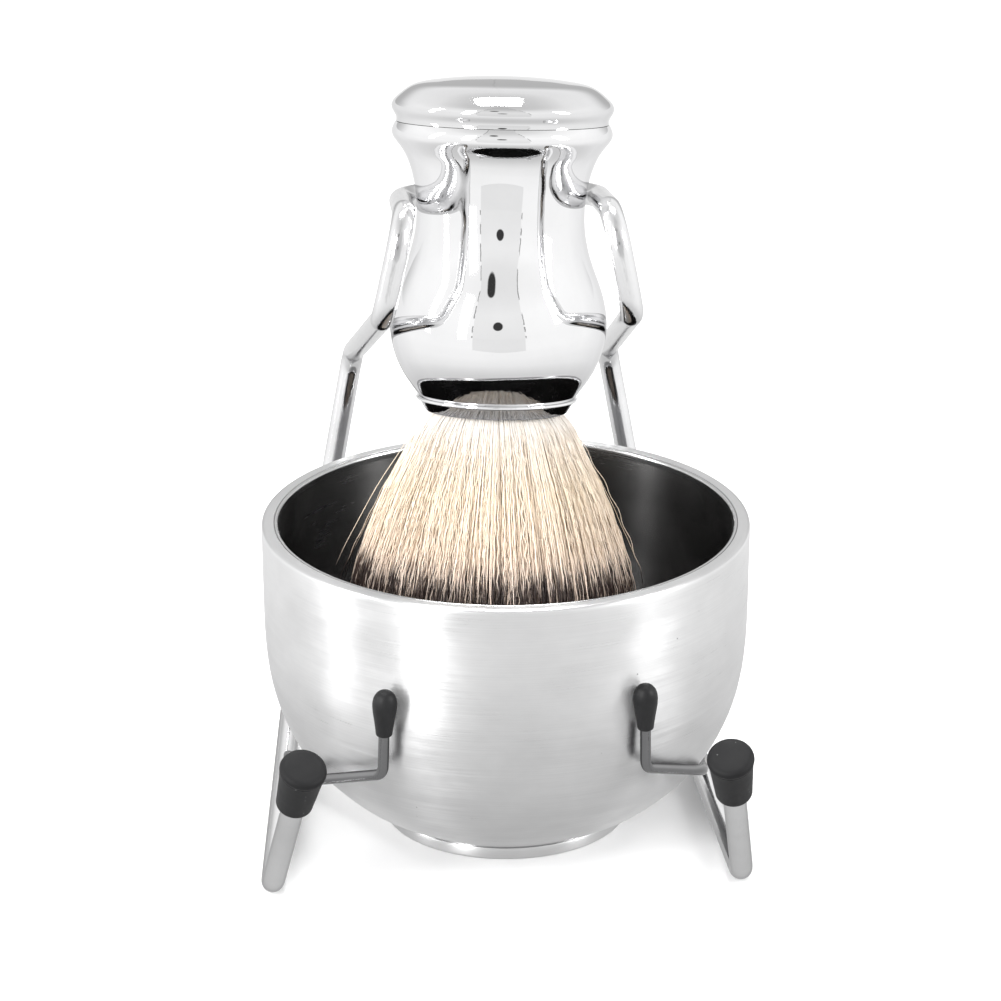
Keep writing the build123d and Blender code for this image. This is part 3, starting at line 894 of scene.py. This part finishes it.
def strand_points(draw, path, outward, radius):
    """Three-sided rings round each path, thinner over the last 28% (fibre, point, side)."""
    count, points = path.shape[:2]
    along = np.linspace(0, 1, points)[None]
    tangent = np.gradient(path, axis=1)
    tangent /= np.linalg.norm(tangent, axis=-1, keepdims=True)
    away = np.stack([outward[:, 0], outward[:, 1], np.zeros(count)], -1)[:, None, :]
    u = away - tangent * (away * tangent).sum(-1, keepdims=True)
    u /= np.linalg.norm(u, axis=-1, keepdims=True)
    v = np.cross(tangent, u)
    thickness = radius * draw.uniform(0.8, 1.2, count)[:, None] \
        * (1 - 0.72 * np.clip((along - 0.72) / 0.28, 0, 1) ** 1.6)
    twist = draw.uniform(0, TURN, count)[:, None]
    sides = []
    for k in range(3):
        a = twist + TURN * k / 3
        sides.append(path + (u * np.cos(a)[..., None] + v * np.sin(a)[..., None])
                     * thickness[..., None])
    return to_brush(np.stack(sides, 2))


def strand_mesh(name, rings):
    """Mesh of capped three-sided strands."""
    count, points = rings.shape[:2]
    segments = points - 1
    verts = rings.reshape(-1, 3)
    base = np.arange(count)[:, None, None] * points * 3
    i = np.arange(segments)[None, :, None] * 3
    k = np.arange(3)[None, None, :]
    k2 = (k + 1) % 3
    quads = np.stack([base + i + k, base + i + k2, base + i + 3 + k2, base + i + 3 + k], -1)
    quads = quads.reshape(-1, 4)
    first = np.arange(count) * points * 3
    last = first + segments * 3
    root_caps = np.stack([first + 2, first + 1, first], -1)
    tip_caps = np.stack([last, last + 1, last + 2], -1)
    quad_count, cap_count = len(quads), 2 * count
    mesh = bpy.data.meshes.new(name)
    mesh.vertices.add(len(verts))
    mesh.vertices.foreach_set("co", verts.astype(np.float32).ravel())
    loops = np.concatenate([quads.ravel(), root_caps.ravel(), tip_caps.ravel()])
    mesh.loops.add(len(loops))
    mesh.loops.foreach_set("vertex_index", loops.astype(np.int32))
    mesh.polygons.add(quad_count + cap_count)
    starts = np.concatenate([np.arange(quad_count) * 4,
                             quad_count * 4 + np.arange(cap_count) * 3])
    mesh.polygons.foreach_set("loop_start", starts.astype(np.int32))
    mesh.polygons.foreach_set("use_smooth", np.ones(quad_count + cap_count, bool))
    mesh.update(calc_edges=True)
    mesh.validate()
    return mesh


def build_fibres(name, count, lane, radius, segments, seed, material, stray=False):
    """One block of fibres: tapering strands, crimped, gathered in small locks."""
    draw = np.random.default_rng(seed)
    path, outward, random, depth, lock_gap = fibre_paths(draw, count, lane, segments, stray)
    mesh = strand_mesh(name, strand_points(draw, path, outward, radius))
    looks = np.zeros((count, segments + 1, 3, 3), np.float32)
    looks[..., 0] = random[:, None, None]
    looks[..., 1] = (depth / LOFT)[:, :, None]
    looks[..., 2] = np.clip(lock_gap * 9, 0, 1)[:, None, None]
    add_vectors(mesh, "fib", looks)
    fit(link(name, mesh), "brush", "bristle", material)


def build_core():
    """An inner mass of packed fibre that closes the view through the bundle."""
    root = [(0.0, 3.6), (10.8, 3.6), (11.2, ROOT_DEPTH)]
    side = [(float(knot_radius(depth)) * 0.90, -depth)
            for depth in (2.0, 4.5, 7.5, 11.5, 15.5, 20, 25, 30, 34, 38)]
    end = [(24.6, -42.3), (20.6, -45.8), (12.8, -48.3), (0.0, -49.2)]
    core = lathe("bristle_core", outline(root, curve([root[-1], *side, *end])),
                 BRUSH_FRAME, segments=256, sharp_angle=60)
    to_local = BRUSH_FRAME.inverted()
    ridges = np.random.default_rng(5).normal(0, 1, 512)
    last = len(ridges) - 1
    looks, marks = [], []
    for vertex in core.data.vertices:
        place = to_local @ vertex.co
        angle = math.atan2(place.y, place.x)
        depth = -place.z / MM
        r = math.hypot(place.x, place.y) / MM
        if r > 1:
            # uneven ridges that fade in below the ferrule
            k = (angle / TURN + 0.5) * last
            ridge = ridges[int(k)] * (1 - k % 1) + ridges[min(int(k) + 1, last)] * (k % 1)
            fade = min(max((depth - 3) / 10, 0), 1)
            rise = ridge * 0.35 * fade * min(r / 12, 1)
            place.x *= (r + rise) / r
            place.y *= (r + rise) / r
            vertex.co = BRUSH_FRAME @ place
        looks.append((0.5, depth / LOFT, 0.5))
        marks.append((math.cos(angle), math.sin(angle), depth / 50))
    add_vectors(core.data, "fib", looks)
    add_vectors(core.data, "ring", marks)
    fit(core, "brush", "bristle", FIBRE_CORE, replaces="bristle_knot")


# name, fibres, lane, strand radius (mm), segments, seed, material
FIBRE_BLOCKS = [
    ("outer_a", 1400, (0.94, 1.0), 0.105, 22, 21, FIBRE),
    ("outer_b", 1400, (0.94, 1.0), 0.105, 22, 25, FIBRE),
    ("outer_c", 1400, (0.90, 1.0), 0.10, 22, 22, FIBRE),
    ("outer_d", 1400, (0.90, 1.0), 0.10, 22, 26, FIBRE),
    ("mid_a", 1600, (0.80, 0.95), 0.10, 18, 23, FIBRE_IN),
    ("mid_b", 1600, (0.80, 0.95), 0.10, 18, 27, FIBRE_IN),
    ("tips_a", 1800, (0.0, 0.85), 0.11, 12, 24, FIBRE_IN),
    ("tips_b", 1800, (0.0, 0.85), 0.11, 12, 28, FIBRE_IN),
    ("stray", 44, (0.97, 1.0), 0.075, 34, 31, FIBRE)]

build_core()
for name, *settings in FIBRE_BLOCKS:
    build_fibres(f"bristles_{name}", *settings, stray=name == "stray")

# ------------------------------------------------------------------ stand
SIDES = ((1, "right"), (-1, "left"))
WIRE_R, PRONG_R = 2.25, 1.05
BORE_GAP = 0.03         # play between a wire and the rubber on it
CAP_LENGTH = 12.3
CAP_OVERHANG = 1.9      # how far the rubber cap reaches past the end of the wire

# corners of the right half of the main wire (x, y, z), from the front end to the fork
toe = (40.3, -58.0, 37.1)
rail_front = (46.4, -38.1, 2.25)
rail_rear = (41.6, 53.6, 2.25)
back_top = (27.1, 57.2, 80.3)
elbow_low = (24.0, -17.2, 112.2)
elbow_up = (19.8, -18.2, 132.6)
FORK_HALF, FORK_REAR_Y = 19.6, 29.0
FORK_TILT = 10.6        # degrees, falling to the rear
leg_way = unit(np.array(toe) - np.array(rail_front))
wire_end = tuple(np.array(toe) - leg_way * CAP_OVERHANG)
fork_drop = (FORK_REAR_Y - elbow_up[1]) * math.tan(math.radians(FORK_TILT))
fork_rear = (FORK_HALF, FORK_REAR_Y, elbow_up[2] - fork_drop)
MAIN_WIRE = [wire_end, rail_front, rail_rear, back_top, elbow_low, elbow_up, fork_rear]
MAIN_SHIFTS = [TOE_SHIFT, 0, 0, 0, 0.9 * FORK_SHIFT, FORK_SHIFT, FORK_SHIFT]
MAIN_RADII = [6.5, 7.5, 6.5, 6.5, 7.0, FORK_HALF - 0.15]

# corners of the right prong arm (x, y, z), from its tip down to the rail
PRONG_ARM = [(24.95, -45.75, 44.4), (25.4, -43.7, 28.4), (38.95, -26.7, 19.5),
             (43.25, 4.0, 5.55), (42.6, 16.0, 5.55)]
PRONG_SHIFTS = [PRONG_SHIFT, PRONG_SHIFT, KNEE_SHIFT, 0, 0]
PRONG_RADII = [3.2, 22.0, 8.0]


def on_side(points, shifts, side):
    """The points on the right (1) or left (-1), each moved along X by its shift."""
    return [(side * x + shift, y, z) for (x, y, z), shift in zip(points, shifts)]


def along_axis(place, direction):
    """Frame with its origin at a place (mm) in the stand and Z along a direction."""
    z = Vector(direction).normalized()
    x = (Vector((1, 0, 0)) - z * z.x).normalized()
    return frame_matrix(x, z.cross(x), z, (place + STAND_CENTRE) * MM)


def build_main_wire():
    right, left = (on_side(MAIN_WIRE, MAIN_SHIFTS, side) for side, _ in SIDES)
    places, tangents = bent_path(right + left[::-1], MAIN_RADII + MAIN_RADII[::-1],
                                 arc_step=3.0, line_step=2.0)
    wire = tube("stand_wire", places + STAND_CENTRE, tangents, WIRE_R, sides=40)
    fit(wire, "stand", "wire_chrome", WIRE, replaces="stand_frame")


def build_prong_arm(side, word):
    places, tangents = bent_path(on_side(PRONG_ARM, PRONG_SHIFTS, side), PRONG_RADII,
                                 arc_step=4.0, line_step=1.5)
    arm = tube(f"prong_wire_{word}", places + STAND_CENTRE, tangents, PRONG_R, sides=28,
               rounding=0.15)
    fit(arm, "stand", "wire_chrome", WIRE_THIN_SHADED, replaces=f"prong_arm_{word}")


def build_foot_cap(side, word):
    """Rubber cap with a bead near its closed end, on an end of the main wire."""
    end, corner = (np.array(p) for p in on_side(MAIN_WIRE, MAIN_SHIFTS, side)[:2])
    way = unit(end - corner)
    start = end + way * CAP_OVERHANG - way * CAP_LENGTH
    bore = WIRE_R + BORE_GAP
    # (r, z) from the open end to the closed end
    points = outline(
        curve([(2.6, 0.04), (3.0, 0.0), (3.3, 0.03), (3.52, 0.22), (3.6, 0.6)]),
        curve([(3.6, 0.6), (3.7, 2.1), (3.86, 4.2), (4.12, 7.7), (4.34, 10.2)]),
        curve([(4.34, 10.2), (4.36, 10.36), (4.30, 10.48), (4.36, 10.6), (4.5, 10.75),
               (4.54, 11.1), (4.38, 11.65), (3.95, 12.03), (3.3, 12.18)]),
        curve([(3.3, 12.18), (1.8, 12.27), (0, CAP_LENGTH)]),
        [(0, CAP_LENGTH), (0, CAP_LENGTH - 1.85), (bore, CAP_LENGTH - 1.85), (bore, 0.3)])
    cap = lathe(f"foot_rubber_{word}", points, along_axis(start, way), segments=96,
                sharp_angle=50)
    fit(cap, "stand", "black_rubber", RUBBER, replaces=f"foot_cap_{word}")


def build_prong_tip(side, word):
    """Rounded rubber tip on the upper end of a prong arm."""
    end, corner = (np.array(p) for p in on_side(PRONG_ARM, PRONG_SHIFTS, side)[:2])
    way = unit(end - corner)
    start = end - way * 7.15
    bore = PRONG_R + BORE_GAP
    # (r, z) from the open end to the closed end
    points = outline(
        curve([(1.2, 0.05), (1.4, 0.0), (1.55, 0.08), (1.62, 0.3)]),
        curve([(1.62, 0.3), (1.78, 1.7), (2.12, 4.0), (2.38, 6.0), (2.36, 7.3), (1.95, 8.6),
               (1.1, 9.46), (0, 9.7)]),
        [(0, 9.7), (0, 7.2), (bore, 7.2), (bore, 0.2)])
    tip = lathe(f"prong_rubber_{word}", points, along_axis(start, way), segments=80,
                sharp_angle=50)
    fit(tip, "stand", "black_rubber", RUBBER_TIP, replaces=f"prong_tip_{word}")


build_main_wire()
for side, word in SIDES:
    build_prong_arm(side, word)
for side, word in SIDES:
    build_foot_cap(side, word)
    build_prong_tip(side, word)

# ------------------------------------------------------------------ pieces that keep their CAD shape
for node, material in (
        ("weld_beads_left", WELD), ("weld_beads_right", WELD), ("handle_weight", BALLAST),
        ("cap_seal_ring", RUBBER), ("knot_cup", CUP), ("knot_resin", RESIN)):
    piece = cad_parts[node]
    paint(piece, material)
    for face in piece.data.polygons:
        face.use_smooth = True

# ------------------------------------------------------------------ studio
# A grey screen in front of the set, which only shiny surfaces see.
SCREEN_SKEW = 0.061     # sideways slope of its middle line
SCREEN_HALF = 0.52      # half width as a share of the distance
SCREEN_START = 0.33     # m ahead of the origin
BACKDROP = 1.05         # brightness of the white backdrop


def floor_material():
    m = Material("pale_floor")
    m.surface({"Base Color": (0.93, 0.93, 0.93), "Roughness": 0.75,
               "Specular IOR Level": 0.15})
    rays = m.node("LightPath").outputs
    place = m.place()
    distance = m.node("VectorMath", {0: place}, operation="LENGTH").outputs["Value"]
    # Painted reflection: glossy rays see the floor as a glowing emission, with painted shade close
    # to the set and white further out. The ramp runs over the first 0.5 m.
    shade = m.ramp(m.multiply(distance, 2.0), [
        (0.0, 0.50), (0.15, 0.58), (0.24, 0.70), (0.36, 0.88), (0.50, 0.96), (0.9, 1.0)])
    x, y, _ = m.separate(place)
    ahead, slant = m.front_screen(x, y)
    screen = m.multiply(m.less(slant, SCREEN_HALF), m.greater(ahead, SCREEN_START))
    shade = m.mix(m.multiply(screen, 0.15), shade, (0.0, 0.0, 0.0))
    painted_reflection = m.node("Emission", {"Color": shade, "Strength": 1.0}).outputs[0]
    near = m.mix_shader(rays["Is Glossy Ray"], m.principled.outputs[0], painted_reflection)
    # Far out the floor runs into the white backdrop, so no horizon shows.
    far = m.node("Emission", {"Color": (1.0, 1.0, 1.0), "Strength": BACKDROP}).outputs[0]
    reach = m.multiply(m.subtract(distance, 0.26), 2.2)
    reach = m.math("MINIMUM", m.math("MAXIMUM", reach, 0.0), 1.0)
    fade = m.multiply(reach, rays["Is Camera Ray"])
    m.put(m.output, m.mix_shader(fade, near, far))
    return m.material


def build_floor():
    half, z = 6.0, -0.00005
    mesh = bpy.data.meshes.new("floor")
    mesh.from_pydata([(-half, -half, z), (half, -half, z), (half, half, z), (-half, half, z)],
                     [], [(0, 1, 2, 3)])
    floor = link("floor", mesh)
    paint(floor, floor_material())


def dark_spot(nodes, direction, azimuth, elevation, radius):
    """Factor that darkens a disc of the studio; angles in degrees, azimuth from -Y to +X."""
    a, e = math.radians(azimuth), math.radians(elevation)
    aim = (math.sin(a) * math.cos(e), -math.cos(a) * math.cos(e), math.sin(e))
    dot = nodes.node("VectorMath", {0: direction, 1: aim}, operation="DOT_PRODUCT")
    edge = math.cos(math.radians(radius))
    inside = nodes.soft_step(dot.outputs["Value"], edge - 0.0008, edge + 0.0008)
    return nodes.dimming(inside, 0.95)


def build_world():
    """White for the camera; a shaded studio for light and reflections."""
    world = bpy.data.worlds.new("studio")
    bpy.context.scene.world = world
    world.use_nodes = True
    w = Nodes(world.node_tree)
    direction = w.node("TexCoord").outputs["Generated"]
    x, y, z = w.separate(direction)
    # brightness from just below the horizon to straight up
    sky = w.ramp(w.remap(z, (-0.2, 1.0)), [
        (0.0, 0.95), (0.17, 1.0), (0.55, 1.05), (0.78, 0.95), (0.93, 0.72), (1.0, 0.66)])
    # a greyer backdrop low down behind the set
    low = w.subtract(1.0, w.soft_step(z, 0.12, 0.42))
    rear = w.multiply(w.soft_step(y, 0.55, 0.93), low)
    # the grey screen in front, with a ragged dark seam along its edges
    _, slant = w.front_screen(x, y)
    screen = w.less(slant, SCREEN_HALF)
    ragged = w.node("TexNoise", {"Scale": 9.0, "Vector": direction}).outputs[0]
    seam_at = w.add(0.535, w.multiply(w.subtract(ragged, 0.5), 0.06))
    seam = w.multiply(w.less(w.math("ABSOLUTE", w.subtract(slant, seam_at)), 0.014),
                      w.greater(ragged, 0.47))
    tone = w.multiply(w.dimming(rear, 0.38), w.dimming(screen, 0.13))
    tone = w.multiply(tone, w.dimming(seam, 0.7))
    # dark discs such as the lens, which mirrors show
    tone = w.multiply(tone, dark_spot(w, direction, azimuth=-3.5, elevation=16.0, radius=5.0))
    tone = w.multiply(tone, dark_spot(w, direction, azimuth=-14.0, elevation=47.4, radius=4.1))
    studio_colour = w.tint(sky, w.combine([tone] * 3))
    studio = w.node("Background", {0: studio_colour, 1: 1.0}).outputs[0]
    backdrop = w.node("Background", {0: (1, 1, 1), 1: BACKDROP}).outputs[0]
    camera_ray = w.node("LightPath").outputs["Is Camera Ray"]
    w.node("OutputWorld", {0: w.mix_shader(camera_ray, studio, backdrop)})


def add_area_light(name, place, target, width, height, power):
    light = bpy.data.lights.new(name, "AREA")
    light.shape = "RECTANGLE"
    light.size, light.size_y = width, height
    light.energy = power
    ob = link(name, light)
    ob.location = place
    aim = Vector(target) - Vector(place)
    ob.rotation_euler = aim.to_track_quat("-Z", "Y").to_euler()


def add_camera():
    """Camera in front of the bowl, looking down at the set."""
    data = bpy.data.cameras.new("camera")
    data.sensor_width = 36.0
    data.lens = 134.8147852
    data.clip_start = 0.01
    data.clip_end = 50
    camera = link("camera", data)
    camera.location = (-0.04375 + BOWL_CENTRE.x, -0.70000 + BOWL_CENTRE.y, 0.33528)
    look_down, heading = 20.89, -3.49
    camera.rotation_euler = (math.radians(90 - look_down), 0, math.radians(heading))
    bpy.context.scene.camera = camera


build_floor()
build_world()

# name, place (m), target (m), width (m), height (m), power (W)
for light in (
        ("soft_left", (-0.62, -0.70, 0.42), (0, 0, 0.06), 0.16, 0.8, 9),
        ("side_left", (-0.98, -0.14, 0.40), (0, 0, 0.06), 0.12, 0.8, 5),
        ("soft_right", (0.88, -0.40, 0.50), (0, 0, 0.06), 0.22, 0.5, 7),
        ("soft_top", (0.0, 0.25, 1.1), (0, 0, 0), 0.42, 0.26, 9)):
    add_area_light(*light)
add_camera()

view = bpy.context.scene.view_settings
view.view_transform = "Standard"
view.look = "None"
view.exposure = 0.0
